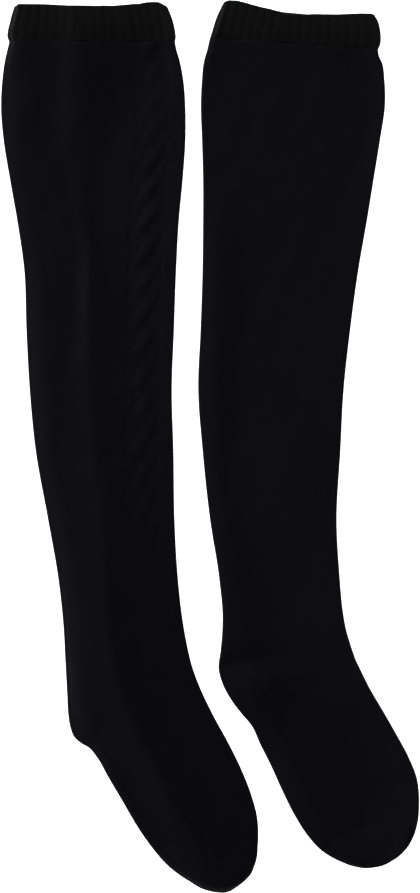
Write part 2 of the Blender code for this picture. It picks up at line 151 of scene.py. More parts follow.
Section = namedtuple("Section", "back_x back_y front_x front_y")
LEFT_SOCK = [
    Section(-184.6, 372.2, -32.2, 372.2),       # cuff seam
    Section(-186.4, 364.5, -30.6, 364.5),
    Section(-188.1, 357.5, -28.5, 357.5),
    Section(-191, 337.5, -24.5, 337.5),
    Section(-192.2, 309.5, -22.5, 309.5),       # thigh, the widest place
    Section(-190, 282.5, -22.5, 282.5),
    Section(-184, 245.5, -25, 245.5),
    Section(-177.5, 208.5, -28.5, 208.5),
    Section(-171, 162.5, -31, 162.5),           # knee
    Section(-169, 107.5, -33, 107.5),
    Section(-166, 52.5, -35, 52.5),
    Section(-160.5, -3.5, -33.5, -3.5),         # calf
    Section(-149, -67.5, -32.5, -67.5),
    Section(-139.5, -122.5, -29.5, -120),       # ankle
    Section(-135, -164, -25.5, -156.5),
    Section(-133, -200.5, -20.5, -185),         # top of the heel
    Section(-131.5, -228.5, -16.5, -201.5),
    Section(-130.5, -246.5, -14, -209),         # heel
    Section(-128.2, -259.5, -11.9, -214.8),
    Section(-125.2, -266.8, -10.4, -218.4),
    Section(-118.8, -272.6, -8.5, -223),
    Section(-111, -277.2, -6.8, -226.8),
    Section(-104.8, -284.5, -4.4, -232),
    Section(-94, -303, 4.6, -250),              # arch
    Section(-81, -325, 17, -272.5),
    Section(-67, -349, 29, -297),
    Section(-53.5, -368.5, 38, -320),           # ball of the foot
    Section(-37, -387, 43.8, -343.5),
    Section(-19.5, -399.5, 44.2, -365.5),
    Section(-2, -408.4, 41, -385.5),            # toe
    Section(8, -410.1, 36.3, -395),
    Section(14.5, -410.2, 31.8, -399.6),
    Section(19, -408.9, 27.5, -403.2),
]

# Heights of the fold edges down the tube, and how far in from the shin's edge the cloth bends to it
Edge = namedtuple("Edge", "down calf shin reach")
LEFT_EDGES = [
    Edge(0, 7.4, 6.6, 24), Edge(45, 6.7, 6.0, 24), Edge(120, 5.8, 6.9, 24),
    Edge(210, 4.5, 7.0, 26), Edge(330, 3.8, 6.4, 24), Edge(470, 3.8, 5.2, 30),
    Edge(560, 3.9, 4.3, 40), Edge(615, 3.6, 4.0, 42), Edge(655, 7.6, 3.9, 44),
    Edge(690, 7.5, 3.9, 44), Edge(725, 6.5, 3.9, 44), Edge(765, 5.0, 3.9, 42),
    Edge(805, 4.6, 4.0, 40), Edge(880, 4.6, 4.4, 26),
]

# Soft folds of the top layer: a line on the plan with its rise (a trough has a negative one) and
# its reach to either side, left and right of someone who walks along it. The crest tells how round
# the fold is on top: a roof's edge has 0, and a gentle wave has 2
Point = namedtuple("Point", "x y rise left right")
Fold = namedtuple("Fold", "crest points")
LEFT_FOLDS = [
    Fold(1.7, [     # a soft ridge below the cuff
        Point(-121, 410, 0.3, 36, 16),
        Point(-121, 386, 0.7, 36, 16),
        Point(-121.5, 366, 1.3, 36, 17),
        Point(-121, 344, 1.5, 36, 18),
        Point(-121, 320, 1.2, 34, 17),
        Point(-123, 296, 0.7, 26, 16),
        Point(-124, 272, 0.2, 22, 14),
        Point(-123, 254, 0.0, 18, 12),
    ]),
    Fold(0.4, [     # the long ridge down to the toe, with the cloth falling away to its east
        Point(-124, 268, 0.0, 18, 12),
        Point(-121, 246, 0.2, 20, 14),
        Point(-117, 224, 0.5, 24, 14),
        Point(-112, 200, 1.2, 28, 13),
        Point(-110, 176, 2.2, 36, 13),
        Point(-110, 144, 3.0, 40, 13),
        Point(-111, 104, 3.1, 42, 15),
        Point(-111, 72, 2.7, 42, 19),
        Point(-109, 38, 2.6, 42, 25),
        Point(-105, -3, 2.8, 42, 34),
        Point(-99, -49, 3.1, 44, 44),
        Point(-97, -104, 3.8, 43, 52),
        Point(-94, -150, 4.7, 44, 58),
        Point(-89, -196, 5.4, 47, 62),
        Point(-79, -233, 5.8, 48, 64),
        Point(-66, -265, 5.9, 50, 60),
        Point(-50, -297, 5.9, 51, 55),
        Point(-33, -328, 5.6, 51, 49),
        Point(-18, -353, 4.2, 48, 40),
        Point(-2, -374, 2.2, 42, 36),
        Point(8, -388, 0.5, 32, 28),
        Point(12, -394, 0.0, 26, 18),
    ]),
    Fold(1.8, [     # the full, rounded fold along the calf, down to the heel
        Point(-168, 410, 2.6, 104, 16),
        Point(-168, 386, 3.0, 106, 17),
        Point(-170, 366, 3.4, 108, 18),
        Point(-171, 337, 3.4, 108, 19),
        Point(-172, 301, 2.8, 100, 18),
        Point(-170, 264, 1.6, 84, 17),
        Point(-164, 227, 0.9, 50, 16),
        Point(-157, 181, 0.9, 46, 16),
        Point(-153, 135, 0.9, 40, 16),
        Point(-151.5, 89, 0.9, 40, 16),
        Point(-149, 43, 0.9, 38, 16),
        Point(-144, -3, 0.8, 36, 15),
        Point(-136, -49, 0.6, 34, 14),
        Point(-128, -95, 0.5, 30, 13),
        Point(-121, -141, 0.5, 28, 13),
        Point(-116, -196, 0.6, 32, 14),
        Point(-115, -233, 1.1, 40, 14),
        Point(-112, -254, 0.5, 36, 12),
        Point(-105, -268, 0.0, 26, 8),
    ]),
    Fold(2.0, [     # a hollow between that fold and the ridge
        Point(-143, 410, -0.3, 20, 22),
        Point(-143, 380, -0.8, 20, 23),
        Point(-143, 352, -1.0, 20, 23),
        Point(-145, 330, -0.8, 18, 21),
        Point(-146, 304, -1.0, 20, 19),
        Point(-146, 284, -0.6, 20, 17),
        Point(-143, 262, 0.0, 14, 14),
    ]),
    Fold(2.0, [     # the wide hollow east of the ridge, from the cuff to the knee
        Point(-58, 410, -0.7, 36, 56),
        Point(-58, 386, -1.3, 36, 57),
        Point(-57, 366, -2.1, 36, 58),
        Point(-58, 340, -2.2, 36, 58),
        Point(-68, 318, -1.7, 40, 48),
        Point(-80, 296, -1.0, 52, 30),
        Point(-91, 270, -0.9, 66, 24),
        Point(-95, 236, -1.2, 70, 24),
        Point(-96, 204, -1.2, 66, 22),
        Point(-90, 172, -0.8, 56, 26),
        Point(-84, 140, -0.3, 40, 24),
        Point(-82, 110, 0.0, 24, 20),
    ]),
    Fold(2.0, [     # the full end of the toe
        Point(-44, -372, 0.0, 24, 6),
        Point(-26, -388, 1.5, 30, 6),
        Point(-5, -399, 2.8, 34, 6),
        Point(13, -402, 3.1, 34, 6),
        Point(28, -397, 2.3, 32, 6),
        Point(38, -386, 1.1, 28, 6),
        Point(45, -371, 0.0, 22, 6),
    ]),
    Fold(1.0, [     # the cloth rises to the cuff, which draws it together
        Point(-184, 373, 1.8, 110, 40),
        Point(-110, 373, 1.8, 110, 40),
        Point(-72, 373, 1.6, 110, 40),
        Point(-38, 373, 0.5, 110, 40),
    ]),
    Fold(2.0, [     # short drag lines where the heel turns
        Point(-131, -196, 0.3, 7, 8),
        Point(-118, -208, 0.5, 8, 9),
        Point(-102, -216, 0.1, 7, 8),
    ]),
    Fold(2.0, [
        Point(-129, -236, 0.3, 8, 9),
        Point(-116, -243, 0.4, 10, 11),
        Point(-97, -248, 0.1, 8, 9),
    ]),
]

CABLE_START = -6.4              # place down the leg of the cable's first crossing
CABLE_PITCH = 25.1              # length of its first crossing, where the thigh stretches it short
PITCH_GROWTH = 0.42             # each crossing is so much longer than the one above
CROSSINGS = 18
CABLE_SWING = 5.2               # how far a strand's middle swings from the cable's middle
CABLE_TURN = 3.0                # how briskly it swings over
STRAND = 9.0                    # half the width of a strand
STRAND_WALES = 8                # stitches across a strand
STRAND_CROWN = 2.0              # a strand's cross-section: 1 is a parabola, and more is slimmer
CABLE_RISE = 0.9                # height of a strand where it crosses in front
CABLE_LOW = 0.12                # share of that height that it has where the strands lie apart
CABLE_FADE = 12.0               # length over which it flattens at its lower end
CABLE_SHOWS = 0.25              # share of its height from which its own stitches show in full
STRANDS_PART = 0.6              # difference in their heights from which the front one's stitches show
ROPE_EDGE = 0.05                # height under which the cable's zone is purl
GROOVE = 14.4                   # distance of the sunk purl lines from its middle
GROOVE_HALF = 4.4               # half their width
GROOVE_DEPTH = 0.14
GROOVE_SWING = 0.14             # how much deeper they are where the strands lie apart
CABLE_ZONE = GROOVE + GROOVE_HALF
CABLE_COLUMNS = 49
BACK_COLUMNS = 58               # points between the calf's fold edge and the cable
FRONT_COLUMNS = 8               # points between the cable and the shin's fold edge
NARROW = 110.0                  # a section narrower than this squeezes the cable together
Along = namedtuple("Along", "down share")
CABLE_PLACES = [                # how far across the leg the cable's middle lies
    Along(0, 0.84), Along(130, 0.807), Along(235, 0.794), Along(330, 0.792), Along(395, 0.765),
    Along(510, 0.76), Along(900, 0.76),
]
CABLE_HEIGHTS = [               # how much of its rise the cable keeps, as the knit is stretched
    Along(0, 0.75), Along(60, 0.7), Along(105, 1.0), Along(210, 1.05), Along(300, 0.8),
    Along(390, 0.65), Along(430, 0.35), Along(900, 0.35),
]
Swell = namedtuple("Swell", "rise length_x length_y start")
SWELLS = [                      # faint unevenness of cloth that was worn and washed
    Swell(0.07, 61, 143, 0.4), Swell(0.05, -37, 88, 2.1), Swell(0.04, 29, -57, 4),
    Swell(0.03, 17, 71, 1.2), Swell(0.04, -83, 31, 5.1),
]


def smooth_rows(places, rows, at):
    """Smooth curves through rows, one row at each of the places, read at many places."""
    rows = np.asarray(rows, float)
    places = np.asarray(places, float)
    slopes = np.gradient(rows, places, axis=0)
    i = np.clip(np.searchsorted(places, at) - 1, 0, len(places) - 2)
    step = (places[i + 1] - places[i])[:, None]
    t = (np.asarray(at) - places[i])[:, None] / step
    start = (2 * t**3 - 3 * t**2 + 1) * rows[i] + (t**3 - 2 * t**2 + t) * step * slopes[i]
    end = (3 * t**2 - 2 * t**3) * rows[i + 1] + (t**3 - t**2) * step * slopes[i + 1]
    return start + end


def shares_along(rows, down):
    """Smooth shares down the sock, from rows of places with their shares."""
    return smooth_rows([row.down for row in rows], [[row.share] for row in rows], down)[:, 0]


def along(points):
    """Distance of each point of a line from its start."""
    steps = np.linalg.norm(np.diff(points, axis=0), axis=1)
    return np.concatenate([[0.0], np.cumsum(steps)])


def eased(share):
    """A share from 0 to 1 that starts and ends softly."""
    return share * share * (3.0 - 2.0 * share)


def fold_rise(folds, x, y):
    """How far the folds raise or sink the cloth over points of the plan. Each fold's line is read
    in straight steps. The nearest one gives the distance and the side, and the steps nearby share
    in the rise and the reach."""
    rise = np.zeros_like(x)
    for fold in folds:
        rows = np.array(fold.points)
        places = along(rows[:, :2])
        steps = int(np.ceil(places[-1] / FOLD_STEP)) + 1
        rows = smooth_rows(places, rows, np.linspace(0.0, places[-1], steps))
        nearest = np.full(x.shape, np.inf)
        on_left = np.zeros(x.shape, bool)
        weights = np.zeros_like(x)
        shape = np.zeros((3,) + x.shape)
        for start, end in zip(rows[:-1], rows[1:]):
            way = end[:2] - start[:2]
            share = ((x - start[0]) * way[0] + (y - start[1]) * way[1]) / (way @ way)
            share = np.clip(share, 0.0, 1.0)
            off_x = x - start[0] - share * way[0]
            off_y = y - start[1] - share * way[1]
            distance = np.hypot(off_x, off_y)
            on_left = np.where(distance < nearest, way[0] * off_y - way[1] * off_x > 0.0, on_left)
            nearest = np.minimum(distance, nearest)
            weight = np.exp(-distance / FOLD_BLEND)
            shape += weight * np.array([start[k] + share * (end[k] - start[k]) for k in (2, 3, 4)])
            weights += weight
        height, left, right = shape / weights
        away = np.hypot(nearest, FOLD_SOFTNESS) - FOLD_SOFTNESS
        away = np.clip(away / np.where(on_left, left, right), 0.0, 1.0)
        rise += height * (1.0 - away) ** 2 * (1.0 + fold.crest * away)
    return rise


def swell_rise(x, y):
    """The cloth's faint unevenness over points of the plan."""
    return sum(s.rise * np.sin(2 * np.pi * (x / s.length_x + y / s.length_y) + s.start) for s in SWELLS)


class Tube:
    """A knitted tube laid flat: the plan of its two fold edges and their heights, down the sock."""

    def __init__(self, sections, edges, shift):
        rows = np.array(sections) + np.tile(shift, 2)
        self.places = along(0.5 * (rows[:, :2] + rows[:, 2:]))
        self.rows = rows
        self.edges = edges
        self.length = float(self.places[-1])

    def sections(self, down):
        """Back ends, directions to the front, and widths of the sections there."""
        ends = smooth_rows(self.places, self.rows, down)
        way = ends[:, 2:] - ends[:, :2]
        width = np.linalg.norm(way, axis=1)
        return ends[:, :2], way / width[:, None], width

    def edge_heights(self, down):
        """Heights of the folds at the calf and the shin, and the shin's reach, as columns."""
        rows = smooth_rows([edge.down for edge in self.edges], [edge[1:] for edge in self.edges], down)
        return rows[:, 0:1], rows[:, 1:2], rows[:, 2:3]

    def area(self):
        """Area of the plan."""
        back, way, width = self.sections(np.linspace(0.0, self.length, AREA_STEPS))
        outline = np.concatenate([back, (back + way * width[:, None])[::-1]])
        x, y = outline.T
        return 0.5 * abs(np.sum(x * np.roll(y, -1) - y * np.roll(x, -1)))


def plain_top(tube, down, across, rise):
    """Height of a top layer with its folds, at distances across it from the calf's fold edge."""
    width = tube.sections(down)[2][:, None]
    calf, shin, reach = tube.edge_heights(down)
    middle = np.full_like(calf, MIDDLE_HEIGHT)
    from_calf = np.clip((across - CALF_TURN) / CALF_REACH, 0.0, 1.0)
    from_shin = np.clip((width - across - SHIN_TURN) / reach, 0.0, 1.0)
    height = calf + (middle - calf) * np.sin(0.5 * np.pi * from_calf)
    height = height + (shin - middle) * (1.0 - from_shin) ** 2
    fade = np.clip((across - CALF_TURN) / np.minimum(FADE_CALF, FADE_NARROW[0] * width), 0.0, 1.0)
    near_shin = (width - across - SHIN_TURN) / np.minimum(FADE_SHIN, FADE_NARROW[1] * width)
    fade = eased(fade * np.clip(near_shin, 0.0, 1.0))
    return np.maximum(height + fade * rise, 2 * WALL + LEAST_AIR)


def ring_plan(tube, down, across, top):
    """Rings round the outside of a tube: the under layer from the back to the front, the fold at
    the shin, the top layer with its given heights, and the fold at the calf. Gives how far across
    each point lies, its height, and its level from 0 on the under layer to 1 on the top one."""
    width = tube.sections(down)[2][:, None]
    calf, shin, _ = tube.edge_heights(down)
    turn_in = 1.0 - np.cos(FOLD_TURNS)
    turn_up = 0.5 * (1.0 + np.sin(FOLD_TURNS))
    under = CALF_TURN + (width - CALF_TURN - SHIN_TURN) * np.linspace(0.0, 1.0, UNDER_COLUMNS)
    places = [under, width - SHIN_TURN * turn_in, across, CALF_TURN * turn_in[::-1] + 0.0 * width]
    heights = [0.0 * under, shin * turn_up, top, calf * turn_up[::-1]]
    levels = [0.0 * under, turn_up + 0.0 * width, 1.0 + 0.0 * top, turn_up[::-1] + 0.0 * width]
    return [np.concatenate(columns, axis=1) for columns in (places, heights, levels)]


def lay_out(tube, down, places, heights):
    """Points at distances across a tube's sections, at these heights."""
    back, way, _ = tube.sections(down)
    points = back[:, None, :] + way[:, None, :] * places[:, :, None]
    return np.concatenate([points, heights[:, :, None]], axis=2)


def outside_rings(tube, down, across, top, squeeze, dip):
    """The outside's points, and how many stitches round the tube each lies. The toe's tip is
    squeezed flat, and the cloth is drawn down at the seam by the dip."""
    places, heights, levels = ring_plan(tube, down, across, top)
    width = tube.sections(down)[2][:, None]
    turned = 0.5 * np.pi + FOLD_TURNS
    round_calf = TURN_LENGTH * CALF_TURN * turned
    round_shin = TURN_LENGTH * SHIN_TURN * turned
    top_places = places[:, FIRST_TOP:FIRST_TOP + across.shape[1]]
    flat = width - CALF_TURN - SHIN_TURN
    travelled = np.concatenate([
        places[:, :UNDER_COLUMNS] - CALF_TURN,
        flat + round_shin,
        flat + round_shin[-1] + width - SHIN_TURN - top_places,
        2 * flat + round_shin[-1] + round_calf,
    ], axis=1)
    whole = 2 * flat + round_shin[-1] + round_calf[-1]
    heights = TOE_MIDDLE + (heights - TOE_MIDDLE) * squeeze[:, None]
    heights = heights - dip[:, None] * levels
    return lay_out(tube, down, places, heights), travelled / whole * 2 * WALES


def inside_rings(tube, down, across, top):
    """The inside's points, a wall's thickness in from the outside's."""
    places, heights, levels = ring_plan(tube, down, across, top)
    width = tube.sections(down)[2][:, None]
    margin = np.minimum(WALL, INSIDE_NARROW * width)
    places = np.clip(places, margin, width - margin)
    over = np.maximum(heights - WALL, WALL + LEAST_AIR * levels)
    return lay_out(tube, down, places, np.where(levels > 0.5, over, WALL))


def knit_piece(name, rings, stitches, rows, marks, capped):
    """A closed wall through rings of points. The rings run up the outside and back down the inside.
    stitches and rows place each point in the knit, and marks are further values by name. A capped
    wall is closed at both of its ends, and otherwise the last ring joins the first."""
    count, columns = rings.shape[:2]
    last = count - 1 if capped else count
    i, j = np.meshgrid(np.arange(last), np.arange(columns), indexing="ij")
    i2, j2 = (i + 1) % count, (j + 1) % columns
    quads = np.stack([i * columns + j, i2 * columns + j, i2 * columns + j2, i * columns + j2], axis=-1)
    faces = quads.reshape(-1, 4).tolist()
    if capped:
        faces.append(list(range(columns)))
        faces.append(list(range(count * columns - 1, (count - 1) * columns - 1, -1)))
    mesh = bpy.data.meshes.new(name)
    mesh.from_pydata((rings.reshape(-1, 3) * MM).tolist(), [], faces)
    corner = np.zeros(len(mesh.loops), np.int64)
    mesh.loops.foreach_get("vertex_index", corner)
    u, v = stitches.reshape(-1)[corner], rows.reshape(-1)[corner]
    # The last column's far corners lie a whole turn on, so that no face runs back round the tube
    wrap = np.zeros((last, columns, 4))
    wrap[:, -1, 2:] = 2 * WALES
    u[: wrap.size] += wrap.reshape(-1)
    layer = mesh.uv_layers.new(name="knit")
    layer.data.foreach_set("uv", np.stack([u, v], axis=1).astype(np.float32).ravel())
    for mark, values in marks.items():
        attribute = mesh.attributes.new(mark, "FLOAT", "POINT")
        attribute.data.foreach_set("value", values.reshape(-1).astype(np.float32))
    mesh.shade_smooth()
    piece = bpy.data.objects.new(name, mesh)
    bpy.context.scene.collection.objects.link(piece)
    return piece


def sock_stations(tube):
    """Distances down a sock, from the tip of the toe up to the mouth."""
    count = int(round((tube.length + TUCK) / RING_STEP)) + 1
    return np.linspace(tube.length, -TUCK, count)


def sock_piece(name, tube, down, across, plain, raised, marks):
    """Leg and foot of a sock in one piece, from the heights of its plain top layer and of what is
    raised on it. Each mark has its values on the top layer and the one that it has elsewhere."""
    left_over = np.clip((tube.length - down) / TOE_REACH, 0.0, 1.0)
    squeeze = np.sqrt(1.0 - (1.0 - TOE_TIP**2) * (1.0 - left_over) ** 2)
    dip = SEAM_DIP * np.clip(1.0 - down / SEAM_DIP_REACH, 0.0, 1.0) ** 2
    outside, stitches = outside_rings(tube, down, across, plain + raised, squeeze, dip)
    facing = np.arange(len(down) - 1, int(TOE_WALL / RING_STEP), -INSIDE_RINGS)
    inside = inside_rings(tube, down[facing], across[facing], plain[facing] - dip[facing, None])
    rings = np.concatenate([outside, inside])
    stitches = np.concatenate([stitches, stitches[facing]])
    rows = np.concatenate([down, down[facing]])[:, None] / COURSE + 0.0 * stitches
    filled = {}
    for mark, (values, elsewhere) in marks.items():
        whole = np.full(rings.shape[:2], elsewhere)
        whole[: len(down), FIRST_TOP:FIRST_TOP + across.shape[1]] = values
        filled[mark] = whole
    return knit_piece(name, rings, stitches, rows, filled, True)


# The plan is moved up or down to the place of the solids' own seam
seam_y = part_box("left_sock_leg")[1].y / MM
pair_shift = np.array([0.0, seam_y - (LEFT_SOCK[0].back_y - 0.5 * SEAM_GAP)])

left_tube = Tube(LEFT_SOCK, LEFT_EDGES, pair_shift)
down = sock_stations(left_tube)
width = left_tube.sections(down)[2]
middle = width * shares_along(CABLE_PLACES, down)
squeeze = np.minimum(1.0, width / NARROW)
low = (middle - squeeze * CABLE_ZONE)[:, None]
high = (middle + squeeze * CABLE_ZONE)[:, None]
front_share = np.linspace(0.0, 1.0, FRONT_COLUMNS + 1)[:-1]
back_share = np.linspace(0.0, 1.0, BACK_COLUMNS + 1)[1:]
cable_off = np.linspace(CABLE_ZONE, -CABLE_ZONE, CABLE_COLUMNS)
across = np.concatenate([
    (width[:, None] - SHIN_TURN) * (1.0 - front_share) + high * front_share,
    middle[:, None] + squeeze[:, None] * cable_off,
    low * (1.0 - back_share) + CALF_TURN * back_share,
], axis=1)
off = (across - middle[:, None]) / squeeze[:, None]

# The two strands of the cable take turns in front: each crosses from the upper right to the lower
# left over one pitch, and passes back behind the other one over the next
pitches = CABLE_PITCH + PITCH_GROWTH * np.arange(CROSSINGS)
crossing_ends = CABLE_START + np.concatenate([[0.0], np.cumsum(pitches)])
turns = np.interp(down, crossing_ends, np.arange(CROSSINGS + 1.0))
strand_heights = []
strand_offs = []
for start in (0.0, 1.0):
    turn = (turns + start) % 2.0
    going_over = turn < 1.0
    swing = np.tanh(CABLE_TURN * (0.5 - turn % 1.0)) / np.tanh(0.5 * CABLE_TURN)
    strand_middle = CABLE_SWING * np.where(going_over, swing, -swing)
    lifted = np.sin(np.pi * (turn % 1.0)) * np.where(going_over, 1.0, -1.0)
    rise = CABLE_RISE * (CABLE_LOW + (1.0 - CABLE_LOW) * lifted)
    strand_off = off - strand_middle[:, None]
    strand_offs.append(strand_off)
    profile = np.clip(1.0 - (strand_off / STRAND) ** 2, 0.0, 1.0) ** STRAND_CROWN
    strand_heights.append(rise[:, None] * profile)
kept = np.clip((crossing_ends[-1] - down) / CABLE_FADE, 0.0, 1.0)
kept = shares_along(CABLE_HEIGHTS, down) * kept
rope_height = np.maximum(0.0, np.maximum(*strand_heights))
sunk = eased(np.clip(1.0 - np.abs(np.abs(off) - GROOVE) / GROOVE_HALF, 0.0, 1.0))
groove = GROOVE_DEPTH + GROOVE_SWING * np.cos(2 * np.pi * turns)
cable_rise = kept[:, None] * (rope_height - groove[:, None] * sunk)

plan = lay_out(left_tube, down, across, 0.0 * across)
x, y = plan[:, :, 0], plan[:, :, 1]
folded = fold_rise(LEFT_FOLDS, x, y - pair_shift[1]) + swell_rise(x, y)
plain = plain_top(left_tube, down, across, folded)

# What the yarn's stitches follow: the strand in front, the purl beside it, or the plain knit
in_cable = np.clip(kept[:, None] / CABLE_SHOWS, 0.0, 1.0) * (np.abs(off) < CABLE_ZONE)
parted = np.clip(np.abs(strand_heights[0] - strand_heights[1]) / STRANDS_PART, 0.0, 1.0)
front_off = np.where(strand_heights[0] > strand_heights[1], strand_offs[0], strand_offs[1])
on_rope = in_cable * (rope_height > ROPE_EDGE)
on_purl = in_cable * (rope_height <= ROPE_EDGE)
left_marks = {
    "rope": (on_rope * parted, 0.0),
    "rope_wale": (front_off / STRAND * 0.5 * STRAND_WALES, 0.0),
    "purl": (on_purl, 0.0),
    "plain": (1.0 - in_cable, 1.0),
}
left_sock = sock_piece("left_sock_knit", left_tube, down, across, plain, cable_rise, left_marks)

# The yarn: soft near-black wool blend with a short nap. Each stitch is a small V that opens
# towards the cuff, in upright columns, and the nap catches the light at the fold edges
YARN_DARK = (0.0085, 0.0083, 0.0102)
YARN_LIGHT = (0.0125, 0.0122, 0.0150)
YARN_ROUGHNESS = 0.9
YARN_GLOSS = 0.08
NAP = 0.05
NAP_ROUGHNESS = 0.45
NAP_TINT = (0.75, 0.75, 0.82, 1.0)
STITCH_DEPTH = 0.15
LEG_PLACE = 0.25                # distance of a leg's middle from its stitch's, in stitches
LEG_SLANT = 0.9                 # rows that a leg rises over the width of a stitch
LEG_ROUND = 0.5                 # a leg's cross-section: 1 is a parabola, and less is fuller
BAR_ARCH = 0.35                 # how far a purl bar's ends bend towards the cuff, in rows
BAR_ROUND = 0.7
FUZZ_DEPTH = 0.07
FUZZ_SCALE = 1400.0
FUZZ_DETAIL = 3.0
PATCH_SCALE = 55.0              # of the faint lighter and darker patches
PATCH_DETAIL = 4.0
STITCH_GAP_SHADE = 0.45              # what the stitches, the fuzz and the patches add to the tone; the stitches' share is painted shade, darker in the gaps between loops
TONE_FUZZ = 0.35
TONE_PATCHES = 0.6
TONE_LOW = 0.3                  # the sum at which the yarn is darkest


class Value:
    """A number that varies over a surface. Arithmetic on it adds Math nodes to its material."""

    def __init__(self, finish, socket):
        self.finish = finish
        self.socket = socket

    def math(self, operation, *others):
        return self.finish.node("ShaderNodeMath", {"operation": operation}, [self, *others])

    def __add__(self, other):
        return self.math("ADD", other)

    __radd__ = __add__

    def __sub__(self, other):
        return self.math("SUBTRACT", other)

    def __rsub__(self, other):
        return (self * -1.0) + other

    def __mul__(self, other):
        return self.math("MULTIPLY", other)

    __rmul__ = __mul__

    def __pow__(self, other):
        return self.math("POWER", other)

    def __abs__(self):
        return self.math("ABSOLUTE")


class Finish:
    """The nodes of one material."""

    def __init__(self, name):
        self.material = bpy.data.materials.new(name)
        self.material.use_nodes = True
        self.tree = self.material.node_tree
        self.shader = self.tree.nodes["Principled BSDF"]

    def node(self, kind, settings, sockets, output=0):
        """A node with its settings, and its sockets by name or in order."""
        made = self.tree.nodes.new(kind)
        for setting, value in settings.items():
            setattr(made, setting, value)
        pairs = sockets.items() if isinstance(sockets, dict) else enumerate(sockets)
        for key, value in pairs:
            if isinstance(value, Value):
                self.tree.links.new(value.socket, made.inputs[key])
            else:
                made.inputs[key].default_value = value
        return Value(self, made.outputs[output])

    def mark(self, name):
        """A value that the piece's points carry."""
        return self.node("ShaderNodeAttribute", {"attribute_name": name}, {}, output="Fac")

    def feed(self, socket, value):
        """Lead a value into one of the shader's sockets."""
        self.tree.links.new(value.socket, self.shader.inputs[socket])


def stitch_relief(wale, row):
    """Height from 0 to 1 of plain knit: two slanted legs of yarn in each stitch."""
    side = abs(wale.math("FRACT") - 0.5)
    leg = 1.0 - ((side - LEG_PLACE) * (1.0 / LEG_PLACE)) ** 2.0
    loop = ((row + side * LEG_SLANT).math("FRACT") - 0.5) * 2.0
    loop = 1.0 - loop ** 2.0
    return (leg.math("MAXIMUM", 0.0) ** LEG_ROUND) * (loop * 0.5 + 0.5)


def purl_relief(wale, row):
    """Height from 0 to 1 of the knit's back: small bars of yarn across the columns."""
    arch = ((wale.math("FRACT") - 0.5) * 2.0) ** 2.0
    bar = ((row + arch * BAR_ARCH).math("FRACT") - 0.5) * 2.0
    return (1.0 - bar ** 2.0).math("MAXIMUM", 0.0) ** BAR_ROUND


def yarn_finish(name, dark, light, relief_of):
    """Knitted yarn. relief_of gives the relief of its stitches, from the finish, wales and rows."""
    finish = Finish(name)
    place = finish.node("ShaderNodeUVMap", {"uv_map": "knit"}, {})
    wale = finish.node("ShaderNodeSeparateXYZ", {}, [place], output="X")
    row = Value(finish, wale.socket.node.outputs["Y"])
    here = finish.node("ShaderNodeTexCoord", {}, {}, output="Object")
    fine = {"Vector": here, "Scale": FUZZ_SCALE, "Detail": FUZZ_DETAIL}
    fuzz = finish.node("ShaderNodeTexNoise", {}, fine)
    wide = {"Vector": here, "Scale": PATCH_SCALE, "Detail": PATCH_DETAIL}
    patches = finish.node("ShaderNodeTexNoise", {}, wide)
    relief = relief_of(finish, wale, row)
    # the stitches' relief darkens the colour in the gaps between loops and lightens their crowns, a
    # painted shade; the fuzz and the patches are random tone
    tone = relief * STITCH_GAP_SHADE + fuzz * TONE_FUZZ + patches * TONE_PATCHES - TONE_LOW
    colour = finish.node(
        "ShaderNodeMix", {"data_type": "RGBA", "clamp_factor": True},
        {0: tone, 6: (*dark, 1.0), 7: (*light, 1.0)}, output=2,
    )
    height = relief * STITCH_DEPTH + fuzz * FUZZ_DEPTH
    bump = finish.node("ShaderNodeBump", {}, {"Height": height, "Distance": MM})
    finish.feed("Base Color", colour)
    finish.feed("Normal", bump)
    finish.shader.inputs["Roughness"].default_value = YARN_ROUGHNESS
    finish.shader.inputs["Specular IOR Level"].default_value = YARN_GLOSS
    finish.shader.inputs["Sheen Weight"].default_value = NAP
    finish.shader.inputs["Sheen Roughness"].default_value = NAP_ROUGHNESS
    finish.shader.inputs["Sheen Tint"].default_value = NAP_TINT
    return finish.material


def cabled_relief(finish, wale, row):
    """Plain knit with the cable's own stitches along its strands, and purl in its sunk lines."""
    strand = stitch_relief(finish.mark("rope_wale"), row)
    plain = stitch_relief(wale, row) * finish.mark("plain")
    return plain + strand * finish.mark("rope") + purl_relief(wale, row) * finish.mark("purl")


left_sock.data.materials.append(yarn_finish("cabled_knit", YARN_DARK, YARN_LIGHT, cabled_relief))
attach(left_sock, "root")
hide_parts("left_sock_leg", "left_sock_foot")
2 * left_tube.area() * MM * MM

